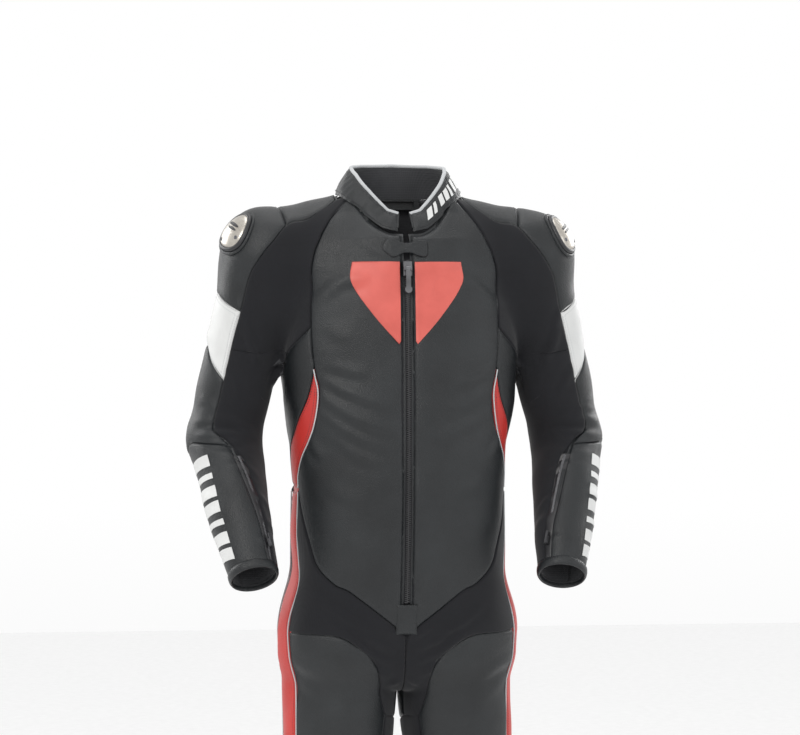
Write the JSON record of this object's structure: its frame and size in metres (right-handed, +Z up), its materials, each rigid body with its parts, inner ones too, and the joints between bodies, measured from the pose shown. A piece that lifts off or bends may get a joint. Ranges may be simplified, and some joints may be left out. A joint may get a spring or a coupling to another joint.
{
  "type": "one-piece leather riding suit",
  "caption": "One-piece leather riding suit with stretch inserts, shoulder plates and zips at the front, cuffs and calves; hangs from a loop at the neck.",
  "frame": {"origin": "the point of the hanging loop at the back of the neck that bears on a hook", "axes": "+Z up, the wearer faces -Y, +X is the wearer's left"},
  "size_m": [0.5946, 0.2628, 1.4507],
  "materials": {
    "black_leather": "fine-grained, semi-matt",
    "white_leather": "smooth",
    "red_leather": "smooth",
    "stretch_fabric": "matt weave",
    "emblem_film": "satin film",
    "binding": "knitted edge",
    "metal": "brushed",
    "zip_plastic": "satin",
    "slider_metal": "dark satin",
    "armour_foam": "moulded, matt",
    "lining_mesh": "matt mesh"
  },
  "bodies": {
    "torso": {"front_panel_left": "black_leather", "front_panel_right": "black_leather", "side_panels": "red_leather", "underarm_panels": "black_leather", "back_panel": "black_leather", "lumbar_stretch": "stretch_fabric", "seat_panel": "black_leather", "hip_stretch": "stretch_fabric", "collar": "black_leather", "collar_binding": "binding", "storm_flap": "zip_plastic", "zip_stringers": "zip_plastic", "zip_garage": "black_leather", "chest_badge": "emblem_film", "hang_loop": "black_leather", "torso_lining": "lining_mesh", "yoke_left": "black_leather", "shoulder_stretch_left": "stretch_fabric", "yoke_right": "black_leather", "shoulder_stretch_right": "stretch_fabric"},
    "upper_arm_left": {"shoulder_cap_left": "black_leather", "shoulder_plate_left": "metal", "shoulder_armour_left": "armour_foam", "sleeve_band_left": "white_leather", "elbow_panel_left": "black_leather", "arm_stretch_left": "stretch_fabric"},
    "forearm_left": {"forearm_panel_left": "black_leather", "cuff_binding_left": "black_leather", "cuff_zip_left": "zip_plastic", "elbow_armour_left": "armour_foam"},
    "cuff_slider_left": {"cuff_slider_left": "slider_metal"},
    "thigh_left": {"thigh_panel_left": "black_leather", "side_stripe_left": "red_leather", "leg_stretch_left": "stretch_fabric"},
    "shin_left": {"shin_panel_left": "black_leather", "knee_armour_left": "armour_foam", "calf_zip_left": "zip_plastic"},
    "calf_slider_left": {"calf_slider_left": "slider_metal"},
    "upper_arm_right": {"shoulder_cap_right": "black_leather", "shoulder_plate_right": "metal", "shoulder_armour_right": "armour_foam", "sleeve_band_right": "white_leather", "elbow_panel_right": "black_leather", "arm_stretch_right": "stretch_fabric"},
    "forearm_right": {"forearm_panel_right": "black_leather", "cuff_binding_right": "black_leather", "cuff_zip_right": "zip_plastic", "elbow_armour_right": "armour_foam"},
    "cuff_slider_right": {"cuff_slider_right": "slider_metal"},
    "thigh_right": {"thigh_panel_right": "black_leather", "side_stripe_right": "red_leather", "leg_stretch_right": "stretch_fabric"},
    "shin_right": {"shin_panel_right": "black_leather", "knee_armour_right": "armour_foam", "calf_zip_right": "zip_plastic"},
    "calf_slider_right": {"calf_slider_right": "slider_metal"},
    "main_slider": {"zip_slider": "slider_metal"},
    "main_pull": {"zip_pull": "slider_metal"},
    "collar_tab": {"collar_tab": "black_leather"}
  },
  "joints": [
    {"name": "shoulder_left", "type": "hinge", "parent": "torso", "child": "upper_arm_left", "pos_m": [0.187, -0.044, -0.088], "axis": [0, -1, 0], "range_deg": [0, 75], "deforming": ["yoke_left", "shoulder_stretch_left", "arm_stretch_left", "underarm_panels"]},
    {"name": "elbow_left", "type": "hinge", "parent": "upper_arm_left", "child": "forearm_left", "pos_m": [0.24623, -0.03215, -0.33677], "axis": [-0.8596, 0.4775, -0.1819], "range_deg": [-30, 80], "deforming": ["elbow_panel_left", "arm_stretch_left"]},
    {"name": "hip_left", "type": "hinge", "parent": "torso", "child": "thigh_left", "pos_m": [0.07843, -0.04, -0.612], "axis": [-1, 0, 0], "range_deg": [0, 85], "deforming": ["hip_stretch", "seat_panel", "thigh_panel_left", "side_stripe_left", "leg_stretch_left"]},
    {"name": "knee_left", "type": "hinge", "parent": "thigh_left", "child": "shin_left", "pos_m": [0.09541, -0.04799, -1.00956], "axis": [1, 0, 0], "range_deg": [0, 95], "deforming": ["leg_stretch_left"]},
    {"name": "cuff_zip_left", "type": "slide", "parent": "forearm_left", "child": "cuff_slider_left", "axis": [0.2387, 0.425, 0.8732], "range_m": [0, 0.1079]},
    {"name": "calf_zip_left", "type": "slide", "parent": "shin_left", "child": "calf_slider_left", "axis": [-0.0201, 0.0143, 0.9997], "range_m": [0, 0.1443]},
    {"name": "shoulder_right", "type": "hinge", "parent": "torso", "child": "upper_arm_right", "pos_m": [-0.187, -0.044, -0.088], "axis": [0, 1, 0], "range_deg": [0, 75], "deforming": ["yoke_right", "shoulder_stretch_right", "arm_stretch_right", "underarm_panels"]},
    {"name": "elbow_right", "type": "hinge", "parent": "upper_arm_right", "child": "forearm_right", "pos_m": [-0.24623, -0.03215, -0.33677], "axis": [-0.8596, -0.4775, 0.1819], "range_deg": [-30, 80], "deforming": ["elbow_panel_right", "arm_stretch_right"]},
    {"name": "hip_right", "type": "hinge", "parent": "torso", "child": "thigh_right", "pos_m": [-0.07843, -0.04, -0.612], "axis": [-1, 0, 0], "range_deg": [0, 85], "deforming": ["hip_stretch", "seat_panel", "thigh_panel_right", "side_stripe_right", "leg_stretch_right"]},
    {"name": "knee_right", "type": "hinge", "parent": "thigh_right", "child": "shin_right", "pos_m": [-0.09541, -0.04799, -1.00956], "axis": [1, 0, 0], "range_deg": [0, 95], "deforming": ["leg_stretch_right"]},
    {"name": "cuff_zip_right", "type": "slide", "parent": "forearm_right", "child": "cuff_slider_right", "axis": [-0.2387, 0.425, 0.8732], "range_m": [0, 0.1079]},
    {"name": "calf_zip_right", "type": "slide", "parent": "shin_right", "child": "calf_slider_right", "axis": [0.0201, 0.0143, 0.9997], "range_m": [0, 0.1443]},
    {"name": "front_zip", "type": "hinge", "parent": "torso", "child": "main_slider", "pos_m": [0, 1.338, -0.33], "axis": [1, 0, 0], "range_deg": [0, 17.25]},
    {"name": "pull_tab", "type": "hinge", "parent": "main_slider", "child": "main_pull", "pos_m": [0, -0.15268, -0.10075], "axis": [-1, 0, 0], "range_deg": [0, 120]},
    {"name": "tab_hinge", "type": "hinge", "parent": "torso", "child": "collar_tab", "pos_m": [0.029, -0.14179, -0.07266], "axis": [0, 0.1713, 0.9852], "range_deg": [0, 140]}
  ]
}
